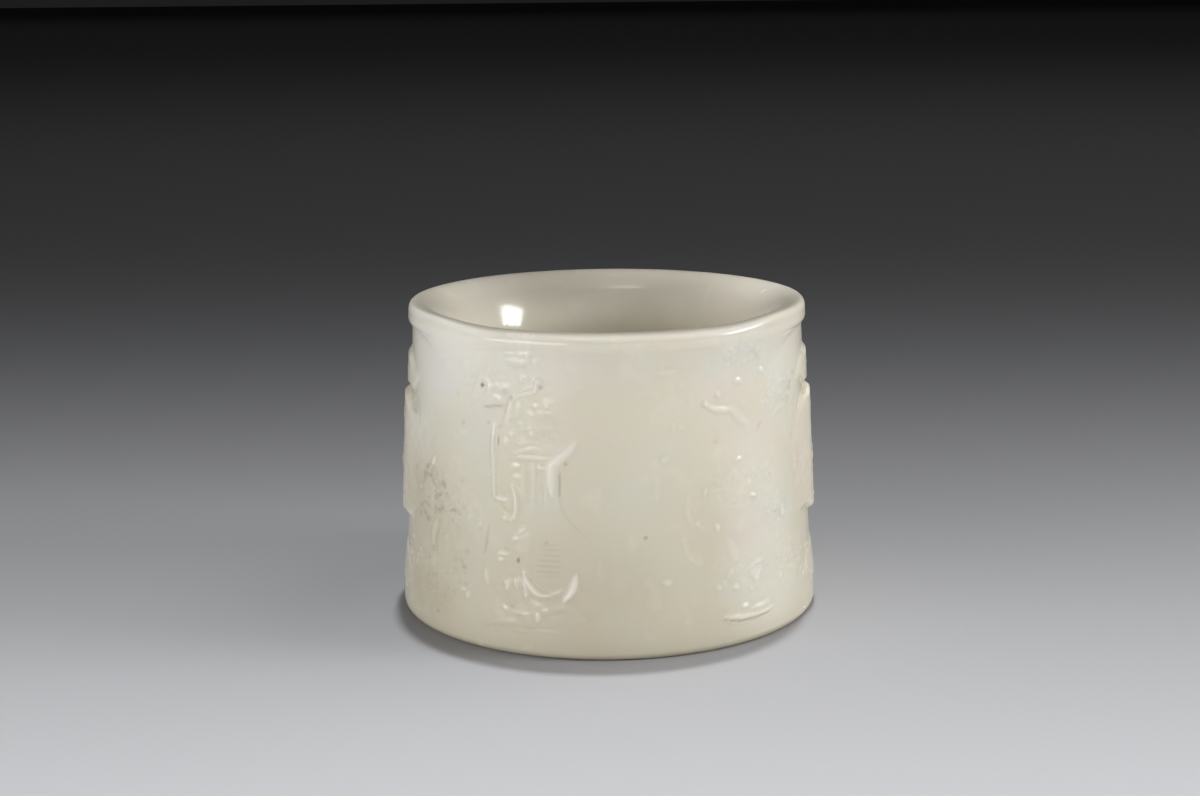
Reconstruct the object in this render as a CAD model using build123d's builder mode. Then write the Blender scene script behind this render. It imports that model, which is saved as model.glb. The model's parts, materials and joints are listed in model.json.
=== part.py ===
"""Archer's thumb ring: one piece of pale jade, bored through, dished at the mouth and carved in low relief.

Millimetres. +Z is the axis of the thumb hole, the ring stands on its wide end, and the origin is the centre
of that end. Azimuth 0 is the front, at -Y, and grows towards +X.
"""

import os
from math import acos, atan, cos, hypot, radians, sin, tan

from build123d import *

# The ring
height = 23.1
bore_diameter = 21.6  # a thumb's width and a little more
mouth_wall = 4.0  # from the bore to the outside of the mouth lip
foot_wall = 4.9  # from the bore to the outside of the foot lip, the widest place
mouth_lip = 1.5  # height of the plain lip round the mouth
foot_lip = 1.1  # height of the plain lip round the foot
mouth_step = 0.3  # how far the mouth lip stands out from the carved ground
foot_step = 0.22  # how far the foot lip stands out from the carved ground
cove = 0.15  # the small slope from each lip down to the ground

# The dished mouth
mouth_flare = 2.2  # how much the dish widens the bore on each side
mouth_blend = 9.3  # radius that curves it down into the bore
mouth_land = 0.3711  # length of the straight slope between that curve and the edge

# Rounded edges
lip_round = 0.55
rim_round = 0.4
foot_round = 0.85
bore_round = 0.5

# The carving
carving_foot = 0.12  # how far the lines and leaves stand out from the ground, next to the foot lip
carving_middle = 0.52  # and half-way up
carving_mouth = 0.3  # and next to the mouth lip
mass_share = 0.75  # the height of the rock masses behind them, as a share of theirs
line_width = 0.6
root = 0.5  # how deep each carved form is rooted in the wall

# Worked out from the sizes above
bore_radius = bore_diameter / 2
mouth_radius = bore_radius + mouth_flare
mouth_lip_radius = bore_radius + mouth_wall
foot_lip_radius = bore_radius + foot_wall
ground_top_radius = mouth_lip_radius - mouth_step
ground_foot_radius = foot_lip_radius - foot_step
ground_top = height - mouth_lip
ground_foot = foot_lip
band = ground_top - ground_foot  # height of the carved ground
# Slope of the dish at its edge, from the axis, so that the curve and the straight slope fill the flare
mouth_angle = acos((mouth_blend - mouth_flare) / hypot(mouth_blend, mouth_land)) - atan(mouth_land / mouth_blend)
dish_depth = mouth_flare / tan(mouth_angle)


def ground_radius(level):
    """Radius of the carved ground at a share of its height, 0 at the foot lip and 1 at the mouth lip."""
    return ground_foot_radius + (ground_top_radius - ground_foot_radius) * level


# The carving, as seen from outside. Each view looks at the ring from one azimuth. Places in it are
# (turn, level): degrees from the view's azimuth, and a share of the height of the carved ground. Widths are
# shares of line_width.

# Rock masses: a closed outline of places
MASSES = {
    -92: [[(-15, 0.31), (13, 0.30), (16, 0.46), (9, 0.62), (3, 0.74), (-10, 0.73), (-17, 0.52)],
          [(-12, 0.79), (11, 0.78), (14, 0.86), (4, 0.92), (-9, 0.91)]],
    -24: [[(8.2, 0.40), (12.4, 0.47), (12.2, 0.60), (14.6, 0.67), (12, 0.68), (8.6, 0.60)],
          [(-2.2, 0.29), (3.4, 0.29), (3.8, 0.35), (1.2, 0.385), (-1.8, 0.35)]],
    44: [[(-12, 0.25), (-6, 0.27), (-4.5, 0.22), (1, 0.24), (0, 0.13), (-9, 0.12)]],
    88: [[(-13, 0.32), (14, 0.31), (17, 0.48), (9, 0.70), (-2, 0.75), (-11, 0.66), (-15, 0.47)],
         [(-12, 0.80), (12, 0.79), (10, 0.92), (-9, 0.91)]],
    140: [[(-15, 0.10), (14, 0.11), (11, 0.24), (4, 0.36), (-4, 0.42), (-11, 0.30)]],
    -142: [[(-16, 0.12), (13, 0.10), (10, 0.27), (2, 0.33), (-9, 0.30)]],
}

# Carved lines: three places that the line passes through, and its width
LINES = {
    -92: [[(-12, 0.36), (-1, 0.385), (11, 0.35), 0.8],
          [(-8, 0.55), (0, 0.60), (6, 0.52), 0.8]],
    -57: [[(0.0, 0.53), (0.6, 0.555), (1.0, 0.59), 0.7],
          [(-2, 0.36), (2.5, 0.385), (6, 0.43), 0.7],
          [(3, 0.21), (-1, 0.235), (-5, 0.24), 0.7]],
    -32: [[(-0.2, 0.725), (-0.3, 0.61), (0.3, 0.49), 0.9],
          [(0.3, 0.49), (2.0, 0.482), (4.0, 0.484), 0.7],
          [(-2.3, 0.30), (-2.9, 0.26), (-2.5, 0.20), 0.6]],
    -22: [[(3.4, 0.89), (0.4, 0.855), (-2.6, 0.845), 0.7],
          [(-4.2, 0.84), (-5.2, 0.79), (-6.6, 0.745), 1.0],
          [(-4.6, 0.53), (-2.9, 0.475), (-5.4, 0.42), 0.7],
          [(-1.0, 0.24), (2.6, 0.178), (7.2, 0.170), 0.9],
          [(-12, 0.05), (-5, 0.059), (3, 0.064), 0.6]],
    -12: [[(3.6, 0.238), (2.4, 0.19), (0.3, 0.153), 0.9],
          [(-6.5, 0.105), (-2.5, 0.122), (2.0, 0.15), 0.6]],
    36: [[(-9, 0.808), (-1, 0.775), (8, 0.70), 0.9],
         [(2.5, 0.885), (4.5, 0.88), (6.5, 0.87), 0.9],
         [(-4.5, 0.062), (3, 0.047), (12, 0.050), 0.9],
         [(4.5, 0.475), (6.5, 0.465), (8.5, 0.458), 0.7]],
    60: [[(-8, 0.39), (-3, 0.365), (2, 0.37), 1.0],
         [(-8, 0.15), (-3, 0.135), (4, 0.16), 0.9]],
    88: [[(-9, 0.42), (0, 0.47), (9, 0.40), 0.8],
         [(-6, 0.62), (0, 0.585), (7, 0.60), 0.8]],
    120: [[(-5, 0.20), (0, 0.30), (-2, 0.45), 0.9],
          [(-2, 0.45), (2, 0.56), (8, 0.62), 0.8],
          [(-8, 0.75), (-1, 0.70), (9, 0.72), 0.8]],
    160: [[(-6, 0.28), (2, 0.42), (-2, 0.58), 1.0],
          [(-2, 0.58), (4, 0.68), (10, 0.70), 0.8],
          [(-2, 0.58), (-7, 0.66), (-13, 0.68), 0.8],
          [(-10, 0.07), (0, 0.06), (11, 0.08), 0.7]],
    -160: [[(-9, 0.50), (-1, 0.46), (8, 0.51), 0.8],
           [(-7, 0.40), (2, 0.43), (9, 0.39), 0.7],
           [(-10, 0.85), (0, 0.81), (9, 0.84), 0.8]],
    -125: [[(-7, 0.42), (-2, 0.55), (-5, 0.70), 0.9],
           [(-5, 0.70), (2, 0.78), (8, 0.76), 0.8],
           [(-9, 0.07), (0, 0.055), (9, 0.07), 0.7]],
}

# Leaves, pebbles and buds: a place, then the length along the turn and the height, as shares of line_width
LEAVES = {
    -57: [[(-8, 0.445), 1.4, 1.0]],
    -32: [[(1.7, 0.287), 2.0, 0.9], [(-10, 0.142), 1.4, 0.9], [(-8.2, 0.125), 1.2, 1.2]],
    -22: [[(3.2, 0.895), 1.5, 1.1], [(-1.4, 0.90), 1.0, 1.1], [(-4.5, 0.715), 1.1, 1.0],
          [(1.3, 0.71), 1.0, 0.9], [(-6.6, 0.425), 1.3, 1.2], [(-6, 0.198), 1.3, 1.2],
          [(-0.2, 0.165), 0.9, 1.2], [(-4.9, 0.957), 1.6, 2.0], [(-1.6, 0.957), 0.9, 1.9],
          [(0.6, 0.957), 0.8, 1.7], [(2.6, 0.957), 0.8, 1.4]],
    14: [[(1, 0.63), 1.3, 1.0], [(1.4, 0.205), 1.5, 1.1]],
    36: [[(-5, 0.83), 1.2, 1.0], [(11.7, 0.888), 1.4, 1.1], [(1.5, 0.95), 1.8, 1.3],
         [(7, 0.945), 1.8, 1.3], [(1.6, 0.60), 2.0, 0.9], [(6.8, 0.56), 1.3, 1.2],
         [(5.2, 0.515), 1.6, 1.1], [(-9.5, 0.505), 0.9, 1.3], [(-6, 0.378), 1.0, 1.4],
         [(-12, 0.405), 0.9, 1.5], [(-0.8, 0.158), 1.6, 1.1], [(-6, 0.17), 1.2, 1.1]],
    50: [[(-1.4, 0.555), 1.4, 1.0], [(-1.4, 0.52), 1.2, 1.0], [(1.5, 0.60), 1.4, 1.1],
         [(5, 0.53), 1.6, 1.1]],
    64: [[(-6, 0.66), 2.2, 1.2], [(0, 0.72), 2.0, 1.2], [(3, 0.60), 1.8, 1.2]],
    120: [[(5, 0.66), 1.8, 1.2], [(9, 0.56), 1.8, 1.2], [(2, 0.80), 2.0, 1.2], [(-6, 0.90), 2.2, 1.2]],
    160: [[(12, 0.74), 2.2, 1.4], [(7, 0.77), 2.0, 1.2], [(-9, 0.73), 2.2, 1.3], [(-14, 0.62), 1.8, 1.2],
          [(0, 0.86), 2.4, 1.2]],
    -160: [[(-6, 0.60), 2.2, 1.2], [(3, 0.66), 2.4, 1.2], [(9, 0.60), 1.8, 1.2]],
    -125: [[(9, 0.83), 2.0, 1.2], [(1, 0.87), 2.2, 1.2], [(-9, 0.80), 2.0, 1.2], [(6, 0.62), 1.8, 1.2]],
}

# The pavilion and the steps below it, seen from its own azimuth
pavilion_azimuth = -21
ROOF = [(-6.6, 0.610), (-4.4, 0.655), (1.0, 0.672), (4.0, 0.650), (5.0, 0.612)]  # its outline
COLUMNS = [-4.6, -1.8, 0.8, 3.2]  # turn of each
column_foot = 0.46
column_top = 0.60
column_width = 0.7
STEPS = [0.26, 0.285, 0.31, 0.335]  # level of each
steps_left = 2.0  # turn of the flight's two ends
steps_right = 7.2
step_width = 0.5


def view(azimuth):
    """A plane that touches the bore at an azimuth, seen from outside: x runs along the turn, y is up."""
    turn = radians(azimuth)
    along = Vector(cos(turn), sin(turn), 0)
    outward = Vector(sin(turn), -cos(turn), 0)
    return Plane(origin=outward * bore_radius + Vector(0, 0, ground_foot), x_dir=along, z_dir=outward)


def place(turn, level):
    """Where a place lies in the sketch of its view."""
    return (ground_radius(level) * sin(radians(turn)), band * level)


def bar(start, end, width):
    """A straight carved line with round ends, in a sketch."""
    SlotCenterPoint((Vector(*start) + Vector(*end)) / 2, end, width)


def carved_shell(share):
    """Half section of the layer that a share of the carving's height fills, in the XZ plane."""
    Polyline(
        (ground_radius(0) - root, ground_foot),
        (ground_radius(0) + carving_foot * share, ground_foot),
        (ground_radius(0.5) + carving_middle * share, ground_foot + band / 2),
        (ground_radius(1) + carving_mouth * share, ground_top),
        (ground_radius(1) - root, ground_top),
        close=True,
    )


# Rock masses, the lower layer of the carving
with BuildPart() as masses:
    for azimuth, outlines in MASSES.items():
        with BuildSketch(view(azimuth)):
            for outline in outlines:
                with BuildLine():
                    Spline(*[place(*point) for point in outline], periodic=True)
                make_face()
        extrude(amount=foot_wall)
    with BuildSketch(Plane.XZ):
        with BuildLine():
            carved_shell(mass_share)
        make_face()
    revolve(axis=Axis.Z, mode=Mode.INTERSECT)

# Lines, leaves, the pavilion and its steps, the upper layer
with BuildPart() as lines:
    for azimuth in sorted({*LINES, *LEAVES}):
        with BuildSketch(view(azimuth)):
            for start, middle, end, width in LINES.get(azimuth, []):
                arc = ThreePointArc(place(*start), place(*middle), place(*end), mode=Mode.PRIVATE)
                SlotArc(arc, width * line_width)
            for centre, length, thickness in LEAVES.get(azimuth, []):
                with Locations(place(*centre)):
                    Ellipse(length * line_width / 2, thickness * line_width / 2)
        extrude(amount=foot_wall)
    with BuildSketch(view(pavilion_azimuth)):
        with BuildLine():
            Polyline(*[place(*corner) for corner in ROOF], close=True)
        make_face()
        for turn in COLUMNS:
            bar(place(turn, column_foot), place(turn, column_top), column_width * line_width)
        for level in STEPS:
            bar(place(steps_left, level), place(steps_right, level), step_width * line_width)
    extrude(amount=foot_wall)
    with BuildSketch(Plane.XZ):
        with BuildLine():
            carved_shell(1)
        make_face()
    revolve(axis=Axis.Z, mode=Mode.INTERSECT)

# The ring: a turned section, then the carving on it
with BuildPart() as thumb_ring:
    with BuildSketch(Plane.XZ):
        with BuildLine():
            FilletPolyline(
                (bore_radius, 0),
                (foot_lip_radius, 0),
                (foot_lip_radius, ground_foot),
                (ground_foot_radius, ground_foot + cove),
                (ground_top_radius, ground_top - cove),
                (mouth_lip_radius, ground_top),
                (mouth_lip_radius, height),
                (mouth_radius, height),
                (bore_radius, height - dish_depth),
                radius=[bore_round, foot_round, 0, 0, 0, 0, lip_round, rim_round, mouth_blend],
                close=True,
            )
        make_face()
    revolve(axis=Axis.Z)
    add(masses.part)
    add(lines.part)

thumb_ring.part.label = "thumb_ring"
os.makedirs("parts", exist_ok=True)
export_step(thumb_ring.part, "parts/thumb_ring.step")
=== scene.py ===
"""Archer's thumb ring of pale jade with a landscape carved in low relief, standing on its wide end.

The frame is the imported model's, in metres. The ring is drawn in millimetres, and the floor and the lights in
metres. Azimuths are in degrees from the front, -Y, growing towards +X. A place on the wall is (azimuth,
height).
"""

import json
import math

import bpy
import numpy as np
from mathutils import Euler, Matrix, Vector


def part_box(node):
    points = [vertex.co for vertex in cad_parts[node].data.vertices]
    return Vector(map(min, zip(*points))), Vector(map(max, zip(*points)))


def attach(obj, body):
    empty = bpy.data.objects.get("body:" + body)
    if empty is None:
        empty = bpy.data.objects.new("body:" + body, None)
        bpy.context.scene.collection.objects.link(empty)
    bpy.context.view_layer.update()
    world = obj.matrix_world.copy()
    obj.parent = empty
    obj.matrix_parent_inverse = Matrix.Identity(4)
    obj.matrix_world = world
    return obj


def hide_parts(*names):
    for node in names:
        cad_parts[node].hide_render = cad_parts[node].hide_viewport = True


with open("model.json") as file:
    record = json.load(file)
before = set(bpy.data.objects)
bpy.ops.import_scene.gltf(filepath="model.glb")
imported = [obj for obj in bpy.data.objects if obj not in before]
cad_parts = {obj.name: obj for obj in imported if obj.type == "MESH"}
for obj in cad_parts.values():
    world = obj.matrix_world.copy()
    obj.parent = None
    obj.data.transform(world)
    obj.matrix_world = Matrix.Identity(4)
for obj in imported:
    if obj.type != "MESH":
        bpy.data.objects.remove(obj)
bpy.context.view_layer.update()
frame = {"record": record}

# Sizes from the frame
MM = 0.001
ring_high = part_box("thumb_ring")[1]
height = ring_high.z / MM
foot_lip_radius = ring_high.x / MM
bore = next(m for m in frame["record"]["mounts"] if m["name"] == "thumb_bore")
bore_radius = bore["dims"]["r_mm"]

# The turned form
mouth_lip = 1.5
foot_lip = 1.1
mouth_radius = bore_radius + 2.2
mouth_lip_radius = bore_radius + 4.0
ground_top_radius = mouth_lip_radius - 0.3
ground_foot_radius = foot_lip_radius - 0.22
ground_top = height - mouth_lip
ground_foot = foot_lip
bore_round = 0.5
foot_round = 0.45
dish_curve = 10.0  # radius that curves the mouth down into the bore

# The mesh
columns = 500
wall_rows = 160
front_half_width = 68.0  # the columns are closer together up to this azimuth on both sides
front_edge = 12.0  # half of the turn over which their distance changes there
front_weight = 2.0  # how many times closer they are

# The carving, how worn it is and its painted highlight
smooth_steps = 5  # places on a drawn line from each of its points to the next
leaf_spread = 35.0  # how far the lean of strewn leaves may differ
front_share = 0.6  # how high the carving stands at the front, as a share of how high it is drawn
limb = 86.0  # azimuth of the silhouette on both sides, seen from the front
sharp = 0.05  # height above the surroundings that counts in full as worn and highlighted, or depth below them that counts in full as dirty


def smoothstep(low, high, x):
    """0 below low, 1 above high and a smooth step between them."""
    share = np.clip((x - low) / (high - low), 0, 1)
    return share * share * (3 - 2 * share)


def ground_radius(z):
    """Radius of the carved ground at a height."""
    share = (z - ground_foot) / (ground_top - ground_foot)
    return ground_foot_radius + (ground_top_radius - ground_foot_radius) * share


def arc(centre, radius, start, end, steps):
    """Places on an arc in the section, as (radius, height). Angles are in degrees, up from outward."""
    angles = np.radians(np.linspace(start, end, steps))
    return [(centre[0] + radius * math.cos(a), centre[1] + radius * math.sin(a)) for a in angles]


# Azimuths of the columns, closer together round the front
fine = np.linspace(-180, 180, 7201)
in_front = 1 - smoothstep(front_half_width - front_edge, front_half_width + front_edge, np.abs(fine))
weight = 1 + (front_weight - 1) * in_front
run = np.concatenate([[0], np.cumsum((weight[1:] + weight[:-1]) / 2)])
azimuths = np.interp(np.arange(columns) * run[-1] / columns, run, fine)

# The section, as (radius, height), from the foot's inner edge outwards, up the wall, over the lip and down
# the bore
foot_rows = [(bore_radius + bore_round, 0.0), (foot_lip_radius - 2.2, 0.0)]
foot_rows += arc((foot_lip_radius - foot_round, foot_round), foot_round, -90, 5, 8)
wall_z = np.linspace(0.52, ground_top - 0.12, wall_rows)
lip_rows = [
    (14.58, 21.56),
    (14.70, 21.68),
    (14.77, 21.80),
    (14.80, 21.95),
    (14.79, 22.15),
    (14.78, 22.38),
    (14.765, 22.60),
    (14.73, 22.80),
    (14.66, 22.95),
    (14.54, 23.06),
    (14.38, 23.10),
    (14.02, 23.075),
    (13.62, 22.99),
    (13.23, 22.83),
    (12.88, 22.62),
    (12.56, 22.36),
    (12.30, 22.07),
]
step_rows = 4  # lip rows in the step up from the ground
# The same rows at the front, where the lip is worn rounder and lower and has no step below it
front_lip_rows = [
    (14.775, 21.56),
    (14.785, 21.68),
    (14.795, 21.82),
    (14.80, 21.98),
    (14.795, 22.12),
    (14.78, 22.25),
    (14.75, 22.37),
    (14.70, 22.48),
    (14.60, 22.59),
    (14.48, 22.67),
    (14.33, 22.73),
    (14.12, 22.775),
    (13.87, 22.79),
    (13.50, 22.755),
    (13.13, 22.65),
    (12.79, 22.48),
    (12.43, 22.18),
]
slope = math.acos(1 - (mouth_radius - bore_radius) / dish_curve)
dish_foot = height - dish_curve * math.sin(slope)
dish_rows = []
for share in (0.76, 0.65, 0.52, 0.39, 0.26, 0.13, 0.0):
    angle = slope * share
    outwards = dish_curve * (1 - math.cos(angle))
    dish_rows.append((bore_radius + outwards, dish_foot + dish_curve * math.sin(angle)))
bore_rows = [(bore_radius, 10.0), (bore_radius, 4.0)]
bore_rows += [(bore_radius, bore_round), (bore_radius + 0.15, 0.15)]

# The carving. Each form is drawn on the unrolled wall: x along the turn from an azimuth, y up.
AZ, Z = np.meshgrid(azimuths, wall_z)
RADIUS = ground_radius(Z)
relief = np.zeros_like(AZ)
stain = np.zeros_like(AZ)
raised_wear_and_highlight = np.zeros_like(AZ)
random = np.random.default_rng(11)


def unrolled(azimuth):
    """Where each grid place lies on the wall unrolled from an azimuth."""
    turn = (AZ - azimuth + 180) % 360 - 180
    return np.radians(turn) * RADIUS, Z


def to_wall(azimuth, points):
    """(azimuth, height) places as (x, y) on the wall unrolled from an azimuth."""
    return np.array([(math.radians(a - azimuth) * ground_radius(z), z) for a, z in points])


def smooth(points):
    """A smooth line through points, Catmull-Rom."""
    p = np.asarray(points, float)
    if len(p) < 3:
        return p
    p = np.vstack([2 * p[0] - p[1], p, 2 * p[-1] - p[-2]])
    t = np.linspace(0, 1, smooth_steps, endpoint=False)[:, None]
    out = []
    for a, b, c, d in zip(p[:-3], p[1:-2], p[2:-1], p[3:]):
        twice = 2 * b + (c - a) * t + (2 * a - 5 * b + 4 * c - d) * t**2 + (3 * b - a - 3 * c + d) * t**3
        out.append(0.5 * twice)
    return np.vstack(out + [p[-2:-1]])


def distance_to(line, x, y):
    """Distance of each place from a line, and the share of the line's length at the nearest point."""
    best = np.full(x.shape, 1e9)
    along = np.zeros(x.shape)
    lengths = np.hypot(*np.diff(line, axis=0).T)
    total = max(lengths.sum(), 1e-6)
    done = 0.0
    for (ax, ay), (bx, by), length in zip(line[:-1], line[1:], lengths):
        length = max(length, 1e-6)
        t = np.clip(((x - ax) * (bx - ax) + (y - ay) * (by - ay)) / length**2, 0, 1)
        d = np.hypot(x - ax - t * (bx - ax), y - ay - t * (by - ay))
        near = d < best
        best = np.where(near, d, best)
        along = np.where(near, (done + t * length) / total, along)
        done += length
    return best, along


def window(azimuth, points, margin):
    """The part of the grid near some points, to save time."""
    x, y = unrolled(azimuth)
    low = points.min(0) - margin
    high = points.max(0) + margin
    return (x > low[0]) & (x < high[0]) & (y > low[1]) & (y < high[1]), x, y


def raise_to(mask, form, heights):
    """Raises the ground to a form's heights where the form is, and somewhat higher on top of other forms."""
    ground = relief[mask]
    raised = np.maximum(ground, heights + 0.35 * np.maximum(ground, 0))
    relief[mask] = np.where(form > 0, raised, ground)


def whiten_as_wear_and_highlight(mask, form, high):
    """Makes the top of a raised form whiter, the more the higher it stands: partly worn, partly a painted
    highlight.
    """
    fully_pale = 0.30
    raised_wear_and_highlight[mask] = np.maximum(raised_wear_and_highlight[mask], min(high / fully_pale, 1) ** 1.6 * form)


def stroke(points, width, high):
    """A rounded raised line, thinner and lower at its ends."""
    azimuth = points[0][0]
    line = smooth(to_wall(azimuth, points))
    mask, x, y = window(azimuth, line, width)
    d, along = distance_to(line, x[mask], y[mask])
    half = 0.70 * width * (1 - 0.6 * np.abs(2 * along - 1) ** 2)
    form = np.clip(1 - (d / half) ** 2, 0, 1) * (1 - 0.7 * np.abs(2 * along - 1) ** 5)
    raise_to(mask, form, high * form**1.6)
    whiten_as_wear_and_highlight(mask, form, high)


def cut(points, width, deep, dirt):
    """A groove with some dirt in it, thinner at its ends."""
    azimuth = points[0][0]
    line = smooth(to_wall(azimuth, points))
    mask, x, y = window(azimuth, line, width)
    d, along = distance_to(line, x[mask], y[mask])
    half = 0.62 * width * (1 - 0.5 * np.abs(2 * along - 1) ** 2)
    form = np.clip(1 - (d / half) ** 2, 0, 1) ** 1.3
    relief[mask] -= deep * form
    stain[mask] = np.maximum(stain[mask], dirt * form)


def blob(place, long, tall, high, lean):
    """A rounded raised leaf, pebble or bud."""
    mask, x, y = window(place[0], np.array([[0, place[1]]]), max(long, tall))
    c, s = math.cos(math.radians(lean)), math.sin(math.radians(lean))
    dx, dy = x[mask], y[mask] - place[1]
    u = (dx * c + dy * s) / (0.64 * long)
    v = (-dx * s + dy * c) / (0.64 * tall)
    form = np.clip(1 - u * u - v * v, 0, 1)
    raise_to(mask, form, high * form**1.6)
    whiten_as_wear_and_highlight(mask, form, 0.8 * high)


def pit(place, long, tall, deep, dirt):
    """A small pit, the darker and deeper the more dirt it holds."""
    mask, x, y = window(place[0], np.array([[0, place[1]]]), max(long, tall))
    r = (x[mask] / (0.52 * long)) ** 2 + ((y[mask] - place[1]) / (0.52 * tall)) ** 2
    form = np.clip(1 - r, 0, 1)
    relief[mask] -= dirt * deep * form**2
    stain[mask] = np.maximum(stain[mask], dirt * smoothstep(0, 0.9, form))


def inside(outline, x, y):
    """Whether each place is inside a closed outline."""
    found = np.zeros(x.shape, bool)
    for (ax, ay), (bx, by) in zip(outline, np.roll(outline, -1, axis=0)):
        crosses = (ay > y) != (by > y)
        with np.errstate(divide="ignore", invalid="ignore"):
            at = ax + (y - ay) * (bx - ax) / (by - ay)
        found ^= crosses & (x < at)
    return found


def area(points, edge):
    """The grid near a closed smooth outline, and two shares for how far inside each place lies.

    The first goes from 0 to 1 over the width of the edge, the second over four times that.
    """
    azimuth = sum(a for a, _ in points) / len(points)
    corners = to_wall(azimuth, points)
    line = smooth(np.vstack([corners[-1:], corners, corners[:2]]))[smooth_steps:-smooth_steps]
    mask, x, y = window(azimuth, line, 0.5)
    d, _ = distance_to(line, x[mask], y[mask])
    within = inside(line[:-1], x[mask], y[mask])
    form = np.where(within, smoothstep(0, edge, d), 0)
    crown = np.where(within, smoothstep(0, 4 * edge, d), 0)
    return mask, form, crown


def mass(points, high, edge):
    """A raised rock mass with a soft edge and a slightly domed top."""
    mask, form, crown = area(points, edge)
    dome = 0.3
    raise_to(mask, form, high * (form * (1 - dome) + dome * crown))


def hollow(points, deep, edge):
    """A panel cut back below the ground."""
    mask, form, _ = area(points, edge)
    relief[mask] -= deep * form


def strewn(place, wide, tall):
    """A random place in an oval."""
    angle = random.uniform(0, 2 * math.pi)
    reach = math.sqrt(random.uniform(0, 1))
    z = place[1] + 0.5 * tall * reach * math.sin(angle)
    a = place[0] + math.degrees(0.5 * wide * reach * math.cos(angle) / ground_radius(z))
    return a, z


def foliage(place, wide, tall, count, high, size, lean):
    """Small leaves strewn over an oval, with short cuts among them."""
    for _ in range(count):
        a, z = strewn(place, wide, tall)
        long = size[0] * random.uniform(0.7, 1.4)
        thick = size[1] * random.uniform(0.8, 1.3)
        turn = lean + random.uniform(-leaf_spread, leaf_spread)
        leaf_high = high * random.uniform(0.4, 1.1)
        if random.uniform(0, 1) < 0.35:
            cut([(a - 0.9, z - 0.12), (a + 0.9, z + 0.12 * math.sin(turn))], 0.2, 0.3 * leaf_high, 0.04)
        else:
            blob((a, z), long, thick, leaf_high, turn)


def specks(place, wide, tall, count, dirt):
    """Soft brown specks of old dirt strewn over an oval."""
    for _ in range(count):
        spot = strewn(place, wide, tall)
        size = random.uniform(0.14, 0.5)
        pit(spot, size * random.uniform(0.7, 1.5), size, 0.02, dirt * random.uniform(0.2, 1.0) ** 2)


def waves(wide, tall, seed):
    """Smooth random waves over the whole wall, from -1 to 1."""
    mean_radius = 15
    around = int(round(2 * math.pi * mean_radius / wide))
    lattice = np.random.default_rng(seed).uniform(-1, 1, (int(height / tall) + 3, around))
    u = (AZ + 180) / 360 * around
    v = Z / tall
    iu, iv = np.floor(u).astype(int), np.floor(v).astype(int)
    fu, fv = smoothstep(0, 1, u - iu), smoothstep(0, 1, v - iv)
    low = lattice[iv, iu % around] * (1 - fu) + lattice[iv, (iu + 1) % around] * fu
    high = lattice[iv + 1, iu % around] * (1 - fu) + lattice[iv + 1, (iu + 1) % around] * fu
    return low * (1 - fv) + high * fv


def patches(places):
    """Soft ovals over the wall, 0 to 1, from (azimuth, height, width, height across, strength)."""
    out = np.zeros_like(AZ)
    for a, z, wide, tall, strength in places:
        x, y = unrolled(a)
        r = np.hypot(x / (wide / 2), (y - z) / (tall / 2))
        out = np.maximum(out, strength * (1 - smoothstep(0.35, 1.25, r)))
    return out


# Panels cut back, the pavilion's bay and the steps: outline, depth, width of the edge
PANELS = [
    (
        [
            (-31, 16.0), (-30, 11.4), (-26, 9.7), (-20, 9.5), (-15.6, 10), (-15.6, 13.6), (-11, 15.4),
            (-14, 17.8), (-24, 18.2),
        ],
        0.05,
        0.9,
    ),
    ([(-20.4, 8.8), (-12.6, 9.0), (-10.2, 7.0), (-11.5, 5.4), (-16, 5.0), (-20.6, 6.0)], 0.035, 0.9),
]
for outline, deep, edge in PANELS:
    hollow(outline, deep, edge)

# Rock masses: outline, height, width of the edge
MASSES = [
    (
        [(122, 2.4), (160, 2.4), (157, 4.6), (150, 6.2), (143, 8.6), (136, 8.9), (130, 6.6), (125, 4.8)],
        0.22,
        1.3,
    ),
    ([(134, 8.0), (142, 7.6), (141, 10.4), (137, 11.4), (134, 10.2)], 0.16, 0.8),
    ([(-162, 2.4), (-124, 2.4), (-126, 4.4), (-133, 6.8), (-140, 7.6), (-148, 6.4), (-156, 4.6)], 0.20, 1.2),
    ([(-150, 6.0), (-141, 6.6), (-143, 9.2), (-148, 9.6)], 0.14, 0.8),
    (
        [(-26.2, 7.6), (-24.8, 8.6), (-22.6, 9.1), (-20.6, 8.7), (-20.3, 7.6), (-22, 7.2), (-24.5, 7.3)],
        0.17,
        0.5,
    ),
    ([(32, 6.2), (38, 6.6), (39.5, 5.6), (45, 6.0), (44, 3.8), (35, 3.6)], 0.05, 0.7),
    ([(-52, 6.5), (-40, 8.9), (-35, 8.7), (-35.5, 4.5), (-43, 3.4), (-51, 4.0)], 0.07, 0.8),
    ([(24, 8.3), (28, 12.4), (40, 13.6), (52, 11.0), (58, 8.7), (48, 8.2), (36, 7.6)], 0.07, 0.9),
]
for outline, high, edge in MASSES:
    mass(outline, high, edge)

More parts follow.
